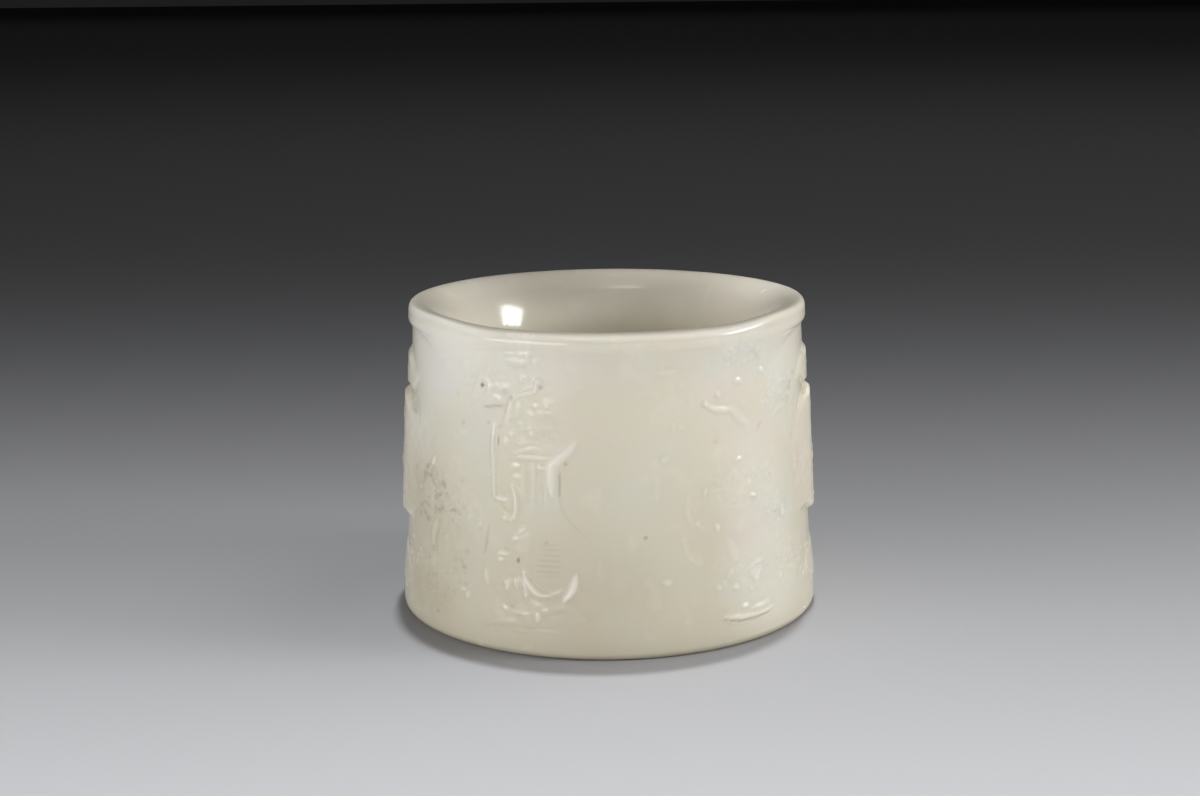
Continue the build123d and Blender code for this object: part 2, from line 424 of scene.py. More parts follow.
# Raised lines: places, width, height
STROKES = [
    # the branch over the pavilion
    ([(-18.9, 19.2), (-19.6, 18.8), (-22, 18.62), (-25, 18.35)], 0.34, 0.24),
    ([(-25.6, 18.3), (-26.6, 17.9), (-27.2, 17.2), (-28.0, 16.7), (-28.9, 16.35)], 0.60, 0.36),
    ([(-24.6, 18.0), (-25.3, 17.2), (-25.5, 16.6)], 0.30, 0.10),
    # the trunk and its root
    (
        [
            (-32.3, 16.2), (-32.4, 14.5), (-32.0, 13), (-31.7, 11.3), (-31.6, 11.12), (-30.2, 11.0),
            (-28.0, 10.9),
        ],
        0.32,
        0.36,
    ),
    # the rock's bank on the right of the bay
    ([(-8.6, 15.5), (-10.6, 14.8), (-13.4, 14.1), (-15.0, 13.5), (-15.2, 12.6), (-15.0, 11.5)], 0.66, 0.30),
    ([(-9.2, 14.8), (-11.9, 14.0), (-13.4, 13.3), (-13.9, 12.2), (-13.7, 10.8)], 0.60, 0.08),
    # the hook
    ([(-26.6, 12.1), (-25.5, 11.6), (-25.0, 10.9), (-25.2, 10.2), (-26.2, 9.75), (-27.4, 9.65)], 0.36, 0.32),
    # the deep curve below the steps
    ([(-23, 6.05), (-22.2, 5.6), (-21.0, 5.15), (-19.6, 4.75), (-18, 4.55), (-15.2, 4.55)], 0.42, 0.36),
    ([(-8.4, 6.1), (-9.0, 5.4), (-9.8, 4.8), (-11.9, 4.15)], 0.46, 0.36),
    ([(-15.2, 4.6), (-13, 4.75), (-11.5, 5.1)], 0.24, 0.05),
    ([(-18.5, 3.25), (-16, 3.55), (-13, 3.62), (-10.4, 4.1)], 0.24, 0.022),
    ([(-18.7, 3.2), (-18.7, 2.5)], 0.40, 0.13),
    ([(-22.9, 5.7), (-22.5, 5.1), (-21.9, 4.45)], 0.28, 0.24),
    ([(-24.3, 5.6), (-23.6, 4.9)], 0.24, 0.14),
    ([(-25.6, 5.5), (-24.6, 4.7)], 0.24, 0.12),
    ([(-34.6, 5.9), (-34.4, 5.3), (-33.6, 4.7)], 0.30, 0.13),
    ([(-30.9, 7.0), (-29.5, 7.2), (-27.4, 7.05)], 0.30, 0.20),
    ([(-30.6, 6.65), (-29.0, 6.72)], 0.26, 0.13),
    ([(-28.6, 5.35), (-27.3, 5.15), (-27.9, 4.6)], 0.28, 0.20),
    # lines along the foot on the left
    ([(-34, 2.1), (-28, 2.36), (-20, 2.46)], 0.18, 0.035),
    ([(-27, 1.75), (-20, 1.92), (-12, 2.0)], 0.18, 0.03),
    ([(-30, 2.9), (-25, 3.05), (-20, 3.0)], 0.20, 0.018),
    # the pavilion: roof, beams and posts
    ([(-26.5, 14.3), (-23.5, 14.55), (-20, 14.75), (-16.5, 14.5)], 0.16, 0.06),
    ([(-27.3, 14.0), (-22, 14.08), (-15.3, 14.12)], 0.17, 0.09),
    ([(-25.5, 14.95), (-21, 15.2), (-18, 15.1)], 0.16, 0.06),
    ([(-20.2, 13.9), (-20.1, 10.4)], 0.20, 0.10),
    ([(-18.2, 13.9), (-18.1, 12.0)], 0.24, 0.06),
    ([(-20.9, 11.8), (-20.8, 10.2)], 0.22, 0.03),
    ([(-18.8, 13.0), (-18.7, 10.5)], 0.18, 0.08),
    ([(-16.8, 13.8), (-16.7, 10.6)], 0.20, 0.08),
    ([(-23.4, 13.8), (-23.2, 11.4)], 0.24, 0.06),
    # left of the trunk
    ([(-56.4, 13.05), (-56.9, 12.5), (-57.4, 12.0)], 0.36, 0.20),
    ([(-39.4, 18.1), (-38.4, 18.8), (-37.3, 19.1)], 0.40, 0.10),
    ([(-34.4, 19.0), (-33.8, 18.4), (-32.9, 18.25)], 0.34, 0.10),
    ([(-45, 15.5), (-43, 15.35), (-41.8, 15.5)], 0.40, 0.08),
    ([(-54.5, 8.5), (-56.2, 7.4), (-56.4, 6.3)], 0.45, 0.08),
    # the branch on the right
    ([(27, 17.65), (28.5, 17.35), (30.5, 17.15), (33, 17.05), (36, 16.95)], 0.42, 0.17),
    ([(34, 17.2), (36, 16.9), (39, 16.2), (42, 15.8)], 0.75, 0.12),
    # lines along the foot on the right
    ([(31.3, 2.38), (34, 2.2), (38, 2.05), (43, 2.0), (49, 2.12)], 0.26, 0.34),
    ([(36.6, 2.75), (38, 2.8), (39.8, 2.78)], 0.32, 0.22),
    ([(40, 2.45), (44, 2.5), (48, 2.7)], 0.40, 0.14),
    # scrolls of cloud and the fan on the right
    ([(13, 20.05), (16, 20.0), (19, 20.15)], 0.32, 0.07),
    ([(21.6, 11.3), (21.2, 10.3), (22.2, 9.4), (24, 8.9)], 0.44, 0.055),
    ([(19.9, 8.7), (20.6, 7.5), (22.5, 6.7), (25, 6.3)], 0.44, 0.05),
    ([(12.9, 13.0), (12.8, 11.0)], 0.45, 0.045),
    ([(33.4, 7.9), (34.6, 7.0), (36.6, 6.1)], 0.80, 0.08),
    ([(39.6, 5.4), (42.5, 5.62), (46, 5.75)], 0.44, 0.14),
    ([(42.3, 4.3), (40.6, 5.3)], 0.44, 0.16),
    ([(42.4, 4.3), (41.8, 5.5)], 0.50, 0.19),
    ([(42.6, 4.3), (43.4, 5.5)], 0.50, 0.20),
    ([(42.8, 4.3), (44.9, 5.5)], 0.44, 0.17),
    ([(54, 19.0), (58, 18.3), (62, 18.0)], 0.45, 0.10),
    ([(52, 15.8), (56, 16.4), (61, 16.3)], 0.42, 0.10),
    # edges and clefts in the rock on the left side
    ([(-98, 8.3), (-94, 9.7), (-95.5, 11.4), (-91, 12.8), (-92.5, 14.6)], 0.34, 0.17),
    ([(-91, 12.8), (-87, 11.4), (-86, 9.4)], 0.30, 0.14),
    ([(-95.5, 11.4), (-100, 10.8), (-103, 9.0)], 0.30, 0.14),
    ([(-92.5, 14.6), (-97, 15.3), (-101, 14.2)], 0.28, 0.12),
    ([(-85, 14.2), (-88, 15.3), (-91, 15.7)], 0.28, 0.10),
    ([(-84, 18.2), (-88, 18.0), (-93, 18.2), (-95, 18.8), (-92.6, 19.1)], 0.22, 0.10),
    # edges and clefts in the rock on the right side
    ([(96, 8.2), (93, 9.9), (95, 11.2), (91, 12.4), (91.5, 14.0)], 0.34, 0.17),
    ([(91, 12.4), (87, 11.8), (84.5, 10.0)], 0.30, 0.14),
    ([(95, 11.2), (99, 10.2), (101, 8.4)], 0.30, 0.14),
    ([(91.5, 14.0), (96, 14.8), (100, 14.0)], 0.28, 0.12),
    ([(84, 14.8), (88, 15.5), (92, 15.3)], 0.28, 0.10),
    ([(84, 18.4), (89, 18.1), (94, 18.3), (96, 18.9), (93.6, 19.2)], 0.22, 0.10),
    # the pine on the right of the back
    ([(117, 4.4), (119.5, 6.4), (118.5, 8.4), (119.5, 10.3)], 0.55, 0.30),
    ([(119.5, 10.3), (122, 11.9), (127, 13.4)], 0.42, 0.26),
    ([(119, 9.6), (115.5, 12.0), (111, 13.0)], 0.38, 0.22),
    ([(124, 12.4), (124, 14.2), (121, 16.0)], 0.34, 0.20),
    # the tree at the back
    ([(160, 6.0), (163, 8.6), (161, 10.8), (160, 12.8)], 0.55, 0.30),
    ([(160, 12.8), (164, 14.6), (169, 15.6)], 0.40, 0.26),
    ([(160, 12.8), (155, 14.4), (149, 15.2)], 0.40, 0.26),
    ([(162, 9.9), (167, 10.8), (172, 10.6)], 0.34, 0.20),
    ([(160, 13.0), (160.5, 15.2), (158.5, 17.4)], 0.32, 0.20),
    # a pavilion at the back
    ([(-177, 12.2), (-173, 12.9), (-170, 13.8), (-167, 12.9), (-163, 12.3)], 0.30, 0.22),
    ([(-175, 12.0), (-165, 12.1)], 0.22, 0.14),
    ([(-173.4, 11.9), (-173.3, 9.2)], 0.24, 0.16),
    ([(-166.4, 11.9), (-166.3, 9.2)], 0.24, 0.16),
    ([(-170, 11.9), (-169.9, 9.2)], 0.20, 0.10),
    ([(-176, 9.1), (-164, 9.2)], 0.26, 0.18),
    ([(-179, 8.4), (-170, 8.5), (-162, 8.4)], 0.24, 0.14),
    # clouds at the back
    (
        [
            (-180, 17.0), (-175, 16.8), (-169, 17.0), (-164, 16.8), (-160, 17.1), (-158, 17.8),
            (-160.5, 18.3), (-162.5, 17.8),
        ],
        0.24,
        0.15,
    ),
    ([(-178, 17.9), (-175, 18.6), (-171.5, 18.4), (-170.8, 17.7), (-173, 17.6)], 0.22, 0.13),
    ([(-170.5, 18.6), (-167.5, 19.2), (-164, 18.9), (-163.6, 18.2)], 0.22, 0.12),
    ([(-152, 12.0), (-148, 11.8), (-144, 12.0), (-142.4, 12.7), (-144.6, 13.2), (-146.4, 12.7)], 0.22, 0.12),
    ([(-151, 12.9), (-148.8, 13.4), (-147, 13.1)], 0.20, 0.10),
    # water at the foot of the back
    ([(-178, 5.4), (-172, 5.8), (-166, 5.4)], 0.22, 0.11),
    ([(-181, 4.2), (-174, 4.5), (-168, 4.1)], 0.22, 0.11),
    ([(164, 3.0), (171, 3.3), (178, 2.9)], 0.22, 0.11),
    ([(168, 4.9), (174, 5.2), (180, 4.8)], 0.22, 0.11),
    ([(-121, 2.6), (-114, 2.9), (-107, 2.5)], 0.22, 0.11),
    ([(105, 2.6), (111, 2.9), (117, 2.6)], 0.22, 0.11),
    # the tree on the left of the back
    ([(-134, 7.6), (-130, 10.4), (-130.5, 12.6), (-131, 14.6)], 0.55, 0.30),
    ([(-131, 14.6), (-125, 16.4), (-119, 16.6)], 0.40, 0.24),
    ([(-130.5, 12.8), (-135, 14.8), (-140, 15.6)], 0.40, 0.24),
    ([(-130, 11.0), (-125, 12.2), (-121, 12.4)], 0.34, 0.20),
]
for points, width, high in STROKES:
    stroke(points, width, high)

# Single leaves, buds and pebbles: place, length, height across, how high, lean
LEAVES = [
    ((-26.6, 21.3), 1.0, 0.34, 0.14, 0), ((-25.7, 20.86), 1.3, 0.36, 0.20, 0),
    ((-23.4, 21.3), 0.8, 0.40, 0.18, 0), ((-23.3, 20.75), 0.8, 0.38, 0.18, 10),
    ((-21.7, 21.1), 0.34, 0.85, 0.22, 0), ((-20.8, 21.3), 0.26, 0.5, 0.12, 0),
    ((-19.5, 20.85), 0.34, 0.60, 0.18, 0), ((-18.6, 21.1), 0.3, 0.3, 0.10, 0),
    ((-23.3, 19.5), 0.38, 0.40, 0.22, 0), ((-18.7, 19.48), 0.62, 0.5, 0.32, 0),
    ((-19.3, 19.1), 0.34, 0.4, 0.24, 30), ((-26.5, 15.7), 0.5, 0.36, 0.20, 25),
    ((-20.7, 15.72), 0.30, 0.30, 0.24, 0), ((-28.8, 15.0), 0.6, 0.6, 0.08, 0),
    ((-25.4, 13.4), 0.8, 0.50, 0.10, 0), ((-17.5, 13.5), 0.55, 0.34, 0.22, 0),
    ((-24.8, 12.7), 0.8, 0.3, 0.08, 0), ((-28.5, 9.8), 0.46, 0.46, 0.26, 0),
    ((-26.9, 9.65), 0.30, 0.34, 0.26, 0), ((-25.2, 8.4), 0.7, 0.42, 0.26, 10),
    ((-23.3, 9.0), 0.8, 0.4, 0.24, 25), ((-28.0, 5.15), 0.42, 0.42, 0.22, 0),
    ((-22.0, 4.42), 0.32, 0.40, 0.26, 0), ((-42, 4.0), 0.5, 0.36, 0.14, 0),
    ((-40.6, 3.65), 0.36, 0.62, 0.14, 0), ((-28, 3.2), 0.36, 0.3, 0.10, 0),
    ((-33.5, 12.6), 0.62, 0.42, 0.10, 0), ((-65.5, 10.3), 0.6, 0.5, 0.16, 0),
    ((-42.5, 20.3), 0.9, 0.6, 0.06, 0), ((-51, 19.9), 0.8, 0.4, 0.07, 0),
    ((-19.5, 17.7), 0.34, 0.34, 0.10, 0), ((-16.1, 17.75), 0.46, 0.34, 0.12, 0),
    ((-16.2, 17.3), 0.46, 0.28, 0.08, 0), ((-40.5, 9.3), 0.7, 0.4, 0.08, 20),
    ((-36.8, 8.9), 0.5, 0.3, 0.08, 40), ((-7.5, 19.1), 0.6, 0.5, 0.05, 0),
    ((-10.0, 18.6), 0.5, 0.8, 0.04, 0), ((9, 18.6), 0.8, 0.6, 0.04, 0), ((12.5, 18.6), 0.8, 0.6, 0.04, 0),
    ((20, 19), 0.5, 0.4, 0.05, 0), ((22.4, 18.1), 0.4, 0.5, 0.07, 0), ((17.4, 16.3), 0.4, 0.5, 0.06, 0),
    ((19.6, 16.2), 0.5, 0.4, 0.07, 0), ((15, 14.05), 0.6, 0.45, 0.13, 0),
    ((27, 17.6), 0.45, 0.36, 0.22, -25), ((31, 18.15), 0.46, 0.36, 0.20, -20),
    ((38, 18.95), 0.80, 0.36, 0.22, 0), ((47.5, 19.35), 0.42, 0.46, 0.34, 0),
    ((35.5, 21.2), 0.5, 0.36, 0.10, 0), ((36.4, 20.5), 0.4, 0.5, 0.10, 0),
    ((38.4, 20.0), 0.5, 0.34, 0.08, 0), ((37.5, 13.4), 0.80, 0.34, 0.24, 8),
    ((41.2, 11.6), 0.5, 0.40, 0.17, 0), ((42.8, 12.4), 0.42, 0.36, 0.13, 0),
    ((48.5, 12.4), 0.40, 0.36, 0.15, 0), ((48.5, 11.7), 0.50, 0.40, 0.15, 0),
    ((42.6, 10.6), 0.80, 0.28, 0.34, -8), ((26.5, 11.4), 0.32, 0.70, 0.14, -15),
    ((24, 9.3), 0.46, 0.40, 0.14, 0), ((30, 8.85), 0.36, 0.62, 0.28, 20),
    ((19.7, 8.2), 0.4, 0.46, 0.07, 0), ((49, 9), 0.46, 0.36, 0.16, 0), ((52, 9.1), 0.46, 0.36, 0.18, 0),
    ((55.6, 8.4), 0.55, 0.42, 0.22, 0), ((55.6, 8.7), 0.50, 0.90, 0.32, -10),
    ((15.3, 5.35), 0.75, 0.52, 0.15, -10), ((35.5, 4.3), 0.62, 0.40, 0.18, 0),
    ((30, 4.5), 0.50, 0.40, 0.13, 0), ((40.8, 3.9), 0.4, 0.3, 0.12, 0),
    ((53.5, 4.1), 0.62, 0.46, 0.18, 20), ((57.0, 5.0), 0.40, 0.52, 0.12, 0),
    ((60, 4.3), 0.50, 0.46, 0.12, 0), ((53, 7.0), 0.5, 0.7, 0.08, -20), ((60.5, 6.3), 0.5, 0.4, 0.08, 0),
    ((34.0, 5.5), 0.5, 0.4, 0.12, 0),
]
for leaf in LEAVES:
    blob(*leaf)

# Strewn leaves: middle, width, height across, count, how high, leaf size, lean
FOLIAGE = [
    ((-35.5, 19.0), 3.2, 2.6, 46, 0.08, (0.42, 0.24), 20),
    ((-22, 17.2), 3.4, 2.4, 26, 0.05, (0.50, 0.16), 0),
    ((-21, 21.0), 3.0, 1.2, 12, 0.07, (0.34, 0.22), 0),
    ((-58, 11.4), 4.2, 3.0, 30, 0.07, (0.46, 0.26), -30),
    ((-45, 10.0), 3.0, 2.2, 20, 0.05, (0.46, 0.24), -20),
    ((-25.5, 4.0), 3.0, 2.0, 14, 0.03, (0.40, 0.20), -40),
    ((-54, 4.0), 3.0, 2.2, 14, 0.05, (0.46, 0.26), 20),
    ((39, 20.8), 3.6, 1.6, 30, 0.10, (0.40, 0.26), 0),
    ((52, 18.0), 4.5, 2.6, 30, 0.10, (0.46, 0.28), -10),
    ((40, 11.6), 6.4, 3.0, 64, 0.11, (0.42, 0.20), -12),
    ((52, 9.4), 3.0, 1.8, 24, 0.12, (0.40, 0.22), -20),
    ((25, 10.4), 2.2, 3.0, 14, 0.07, (0.50, 0.22), -50),
    ((38, 5.0), 4.0, 2.2, 26, 0.09, (0.40, 0.22), -20),
    ((56, 4.8), 3.2, 2.4, 20, 0.09, (0.46, 0.28), 20),
    ((70, 12.0), 2.6, 5.0, 34, 0.07, (0.52, 0.30), -20),
    ((-70, 15.5), 3.0, 4.0, 30, 0.07, (0.52, 0.30), 20),
    ((-70, 5.0), 3.6, 3.0, 24, 0.11, (0.52, 0.28), 0),
    ((70, 4.6), 3.6, 3.0, 24, 0.11, (0.52, 0.28), 0),
    ((112, 13.8), 4.0, 1.8, 46, 0.17, (0.44, 0.20), 10),
    ((128, 14.4), 4.4, 1.8, 50, 0.17, (0.44, 0.20), -10),
    ((119, 17.2), 5.4, 2.2, 64, 0.17, (0.44, 0.20), 0),
    ((148, 16.2), 4.4, 2.0, 54, 0.17, (0.44, 0.20), 10),
    ((170, 16.6), 4.6, 2.2, 60, 0.17, (0.44, 0.20), -10),
    ((158, 19.0), 5.4, 2.0, 64, 0.16, (0.44, 0.20), 0),
    ((173, 11.0), 3.2, 1.6, 34, 0.16, (0.40, 0.18), 0),
    ((-118, 17.4), 4.2, 2.0, 50, 0.16, (0.44, 0.20), 0),
    ((-140, 16.8), 4.6, 2.4, 60, 0.17, (0.44, 0.20), 0),
    ((-128, 19.2), 4.6, 1.6, 44, 0.15, (0.44, 0.20), 0),
    ((-119, 12.8), 3.0, 1.4, 28, 0.15, (0.40, 0.18), 0),
    ((-96, 8.5), 6.0, 1.2, 24, 0.15, (0.60, 0.20), 75),
    ((92, 8.5), 5.4, 1.2, 24, 0.15, (0.60, 0.20), 105),
    ((141, 5.2), 7.0, 3.6, 30, 0.09, (0.70, 0.22), 40),
    ((-143, 4.6), 7.0, 3.0, 30, 0.09, (0.70, 0.22), -40),
]
for group in FOLIAGE:
    foliage(*group)

# Grooves: places, width, depth, dirt
CUTS = [
    ([(-35.5, 17.35), (-32, 17.5), (-28.4, 17.62)], 0.20, 0.10, 0.45),
    ([(-26.9, 18.35), (-26.0, 18.05)], 0.18, 0.08, 0.4),
    ([(-12.7, 13.3), (-12.85, 12.6), (-12.8, 11.6)], 0.20, 0.12, 0.45),
    ([(-12.7, 11.6), (-12.4, 10.8), (-10.4, 9.9), (-7.8, 9.2), (-5.8, 8.7)], 0.22, 0.08, 0.10),
    ([(-30.4, 10.85), (-28.6, 10.4), (-27.0, 10.1)], 0.20, 0.08, 0.2),
    ([(-33.7, 8.9), (-34.2, 8.0), (-35.0, 6.9)], 0.30, 0.08, 0.2),
    ([(-53, 8.4), (-54.4, 7.2), (-54.2, 6.0)], 0.40, 0.06, 0.2),
    ([(-28, 20.4), (-25, 20.35), (-22, 20.42)], 0.18, 0.07, 0.1),
    ([(13.6, 20.35), (16, 20.38), (19, 20.3)], 0.18, 0.05, 0.05),
    ([(45.1, 15.2), (47.0, 15.75)], 0.28, 0.07, 0.15),
    ([(31, 2.12), (36, 1.88), (42, 1.78), (49, 1.92)], 0.18, 0.10, 0.40),
    ([(-34, 1.82), (-28, 2.05), (-20, 2.15), (-14, 2.2)], 0.18, 0.07, 0.15),
    ([(-18, 3.0), (-14, 3.25), (-11, 3.5)], 0.18, 0.06, 0.10),
    ([(-27, 14.2), (-21, 14.35), (-15.5, 14.3)], 0.16, 0.06, 0.08),
    ([(-19.2, 13.8), (-19.1, 10.4)], 0.18, 0.07, 0.10),
    ([(-22, 13.8), (-21.9, 10.8)], 0.20, 0.05, 0.05),
    ([(-24.2, 5.6), (-23.2, 4.8)], 0.18, 0.08, 0.15),
    ([(43, 20.9), (45, 20.6), (46.5, 20.2)], 0.36, 0.06, 0.1),
    ([(-63.5, 10.7), (-61, 11.3), (-58.6, 11.5)], 0.36, 0.14, 0.35),
    ([(-66, 8.7), (-61, 9.3), (-57, 8.9)], 0.24, 0.08, 0.15),
    ([(-105, 10.2), (-96, 10.9), (-86, 10.0)], 0.26, 0.14, 0.15),
    ([(-101, 9.6), (-97, 12.4), (-101, 14.8)], 0.26, 0.12, 0.12),
    ([(80, 12.2), (88, 12.0), (99, 11.4)], 0.26, 0.14, 0.12),
    ([(92, 8.6), (95, 11.2), (91, 14.4)], 0.26, 0.12, 0.12),
    ([(129, 5.2), (134, 6.6), (138, 8.0)], 0.24, 0.09, 0.12),
    ([(138, 3.4), (142, 5.0), (141, 7.0)], 0.24, 0.09, 0.12),
    ([(147, 3.2), (150, 4.4), (149, 5.6)], 0.24, 0.08, 0.12),
    ([(-154, 3.4), (-149, 4.6), (-145, 6.0)], 0.24, 0.09, 0.12),
    ([(-141, 3.2), (-137, 4.6), (-138, 6.0)], 0.24, 0.08, 0.12),
]
for points, width, deep, dirt in CUTS:
    cut(points, width, deep, dirt)
for level in (8.1, 7.72, 7.34, 6.96, 6.58, 6.2, 5.85):
    cut([(-19.2, level - 0.02), (-16, level), (-12.6, level + 0.02)], 0.16, 0.05, 0.14)
for level in (16.9, 16.45, 16.0, 15.5):
    cut([(-19.5, level), (-16, level + 0.05), (-13, level)], 0.16, 0.04, 0.06)

# Pits: place, width, height across, depth, dirt
PITS = [
    ((-36.2, 18.85), 0.36, 0.40, 0.16, 1.0), ((-30.75, 15.1), 0.26, 0.80, 0.14, 0.6),
    ((-24.4, 6.8), 0.30, 0.46, 0.16, 0.9), ((-11.3, 13.85), 0.30, 0.32, 0.10, 0.5),
    ((9.7, 8.65), 0.30, 0.32, 0.08, 0.45), ((-18.0, 19.05), 0.50, 0.22, 0.10, 0.5),
    ((-45.5, 17.9), 0.36, 0.44, 0.08, 0.12), ((-43.2, 15.95), 0.50, 0.40, 0.08, 0.18),
    ((-42.2, 5.6), 0.62, 0.30, 0.08, 0.40), ((-56, 6.2), 0.50, 0.50, 0.08, 0.30),
    ((-55, 4.3), 0.80, 0.34, 0.08, 0.35), ((-52.3, 1.75), 0.60, 0.30, 0.06, 0.55),
    ((-51.6, 11.2), 0.62, 0.36, 0.10, 0.45), ((-46.5, 9.5), 0.72, 0.34, 0.09, 0.45),
    ((-43.5, 11.8), 0.46, 0.28, 0.08, 0.18), ((-58.5, 11.45), 0.70, 0.36, 0.10, 0.55),
    ((-36.5, 8.6), 0.4, 0.4, 0.07, 0.1), ((-65, 8.2), 0.5, 0.5, 0.08, 0.4),
    ((-30.2, 16.1), 0.4, 0.4, 0.06, 0.15), ((-28.8, 18.6), 0.4, 0.5, 0.07, 0.2),
    ((-33.9, 16.3), 0.3, 0.4, 0.06, 0.2), ((-21.6, 19.5), 0.4, 0.4, 0.06, 0.1),
    ((30.2, 14.9), 0.5, 0.34, 0.06, 0.15), ((61, 16.7), 0.8, 0.5, 0.10, 0.35),
    ((63, 17.4), 0.6, 0.4, 0.08, 0.35), ((66, 18.4), 0.5, 0.5, 0.08, 0.25),
    ((62, 5.6), 0.36, 0.5, 0.08, 0.35), ((-26, 3.5), 0.5, 0.24, 0.05, 0.2),
    ((-23.5, 2.95), 0.5, 0.24, 0.05, 0.2), ((-28, 7.5), 0.5, 0.3, 0.05, 0.15),
    ((-16.5, 8.25), 0.40, 0.26, 0.05, 0.22),
]
for spot in PITS:
    pit(*spot)

# Strewn specks: middle, width, height across, count, dirt
SPECKS = [
    ((-60, 10.5), 5.0, 5.0, 44, 0.62),
    ((-50, 9.6), 4.0, 3.0, 26, 0.5),
    ((-56, 4.0), 6.0, 3.4, 30, 0.32),
    ((-44, 5.6), 4.0, 3.0, 14, 0.16),
    ((60, 17.2), 2.6, 2.0, 10, 0.28),
    ((120, 11.0), 14.0, 14.0, 40, 0.30),
    ((-150, 9.0), 12.0, 12.0, 36, 0.30),
    ((178, 12.0), 10.0, 14.0, 26, 0.25),
]
for group in SPECKS:
    specks(*group)

# Where the ground is hand-worked, close to the carving
worked = patches([
    (-34, 18.8, 7.0, 5.0, 1.0), (-21, 16.5, 6.0, 6.0, 0.9), (-22, 11.5, 5.0, 5.0, 0.7),
    (-21, 4.2, 9.0, 5.0, 0.8), (-48, 9.5, 9.0, 8.0, 1.0), (-52, 4.0, 7.0, 4.0, 0.8),
    (-62, 13.0, 6.0, 8.0, 0.8), (40, 20.5, 7.0, 4.0, 0.9), (52, 18.0, 7.0, 5.0, 0.9),
    (38, 11.5, 9.0, 6.0, 1.0), (52, 9.0, 6.0, 5.0, 1.0), (42, 5.0, 9.0, 5.0, 0.9),
    (60, 4.5, 6.0, 4.0, 0.8), (36, 2.8, 8.0, 2.4, 0.6), (68, 13.0, 6.0, 9.0, 0.8),
    (-120, 11.0, 24.0, 18.0, 0.9), (120, 11.0, 24.0, 18.0, 0.9), (180, 11.0, 24.0, 18.0, 0.9),
    (-88, 11.0, 10.0, 16.0, 0.8), (88, 11.0, 10.0, 16.0, 0.8),
])

# Rocks on both sides, one above the other: foot, top, how far they stand out. They rise out of the ground
# towards the silhouette and sink again behind it. Beside it, their feet and tops are arched and uneven.
SIDE_ROCKS = [(7.35, 16.55, 0.47), (17.0, 19.55, 0.27), (2.0, 4.9, 0.12)]
beside = smoothstep(64, 82, np.abs(AZ)) * (1 - smoothstep(100, 118, np.abs(AZ)))
from_limb = np.abs(AZ) - limb
arch = 0.0045 * from_limb**2
ripple = 0.3 * np.sin(np.radians(23 * AZ)) * smoothstep(5, 12, np.abs(from_limb))
for low, high, rise in SIDE_ROCKS:
    over = smoothstep(low - 0.25, low + 0.25, Z - 0.6 * arch + ripple)
    band = over * (1 - smoothstep(high - 0.25, high + 0.25, Z + arch + ripple))
    rock = rise * beside * band
    relief = np.maximum(relief, rock) + 0.45 * np.minimum(relief, rock).clip(0)
relief *= front_share + (1 - front_share) * smoothstep(60, 80, np.abs(AZ))

# Hand work: broad waves over the whole ground, and finer ones where it is worked
fade = smoothstep(0.6, 1.8, Z) * (1 - smoothstep(20.6, 21.4, Z))
relief += fade * 0.022 * waves(4.2, 3.6, 3)
relief += fade * (0.25 + worked) * 0.022 * waves(1.5, 1.2, 4)
relief += fade * worked * 0.024 * waves(0.62, 0.46, 5)


def blurred(values, across, up):
    """A box blur over the grid, by a number of columns and rows each way."""
    total = sum(np.roll(values, shift, axis=1) for shift in range(-across, across + 1)) / (2 * across + 1)
    padded = np.pad(total, ((up, up), (0, 0)), mode="edge")
    return sum(padded[shift:shift + len(values)] for shift in range(2 * up + 1)) / (2 * up + 1)


# What stands out of its surroundings is whiter, partly worn and partly a painted highlight, and what lies
# below them holds dirt
bend = relief - blurred(blurred(relief, 2, 2), 1, 1)
wear = np.clip(0.4 * np.clip(bend / sharp, 0, 1) + raised_wear_and_highlight, 0, 1)
dirt = np.clip(-bend / sharp, 0, 1)

# The wall's form: the ground, the relief, a flare to the foot lip and a cove to the mouth lip
flare = (foot_lip_radius - ground_radius(Z)) * (1 - smoothstep(0.2, 5.2, Z))
front = 1 - smoothstep(48, 70, np.abs(azimuths))
front_lip = 1 - smoothstep(32, 60, np.abs(azimuths))
cove_foot = 21.35 - 2.0 * front
cove = (mouth_lip_radius - 0.04 - RADIUS) * smoothstep(cove_foot[None, :], 21.8, Z)
wall_radius = np.minimum(RADIUS + relief + flare + cove, foot_lip_radius)

ring_rows = foot_rows + [None] * wall_rows + lip_rows + dish_rows + bore_rows
first_wall = len(foot_rows)
first_lip = first_wall + wall_rows
R = np.zeros((len(ring_rows), columns))
H = np.zeros_like(R)
for i, row in enumerate(ring_rows):
    if row is not None:
        R[i] = row[0]
        H[i] = row[1]
R[first_wall:first_lip] = wall_radius
H[first_wall:first_lip] = Z
for i, (row, front_row) in enumerate(zip(lip_rows, front_lip_rows)):
    share = front if i < step_rows else front_lip
    R[first_lip + i] = row[0] + share * (front_row[0] - row[0])
    H[first_lip + i] = row[1] + share * (front_row[1] - row[1])

turn = np.radians(azimuths)[None, :]
places = np.stack([R * np.sin(turn), -R * np.cos(turn), H], axis=2).reshape(-1, 3) * MM
rows = len(ring_rows)
i, j = np.meshgrid(np.arange(rows), np.arange(columns), indexing="ij")
below = i * columns + j
right = i * columns + (j + 1) % columns
above = ((i + 1) % rows) * columns + j
above_right = ((i + 1) % rows) * columns + (j + 1) % columns
faces = np.stack([below, right, above_right, above], axis=2).reshape(-1, 4)

mesh = bpy.data.meshes.new("jade_ring")
mesh.from_pydata(places.tolist(), [], faces.tolist())
mesh.update()
mesh.shade_smooth()


def vertex_values(name, values):
    """Stores one number for each vertex."""
    mesh.attributes.new(name, "FLOAT", "POINT").data.foreach_set("value", values.ravel())


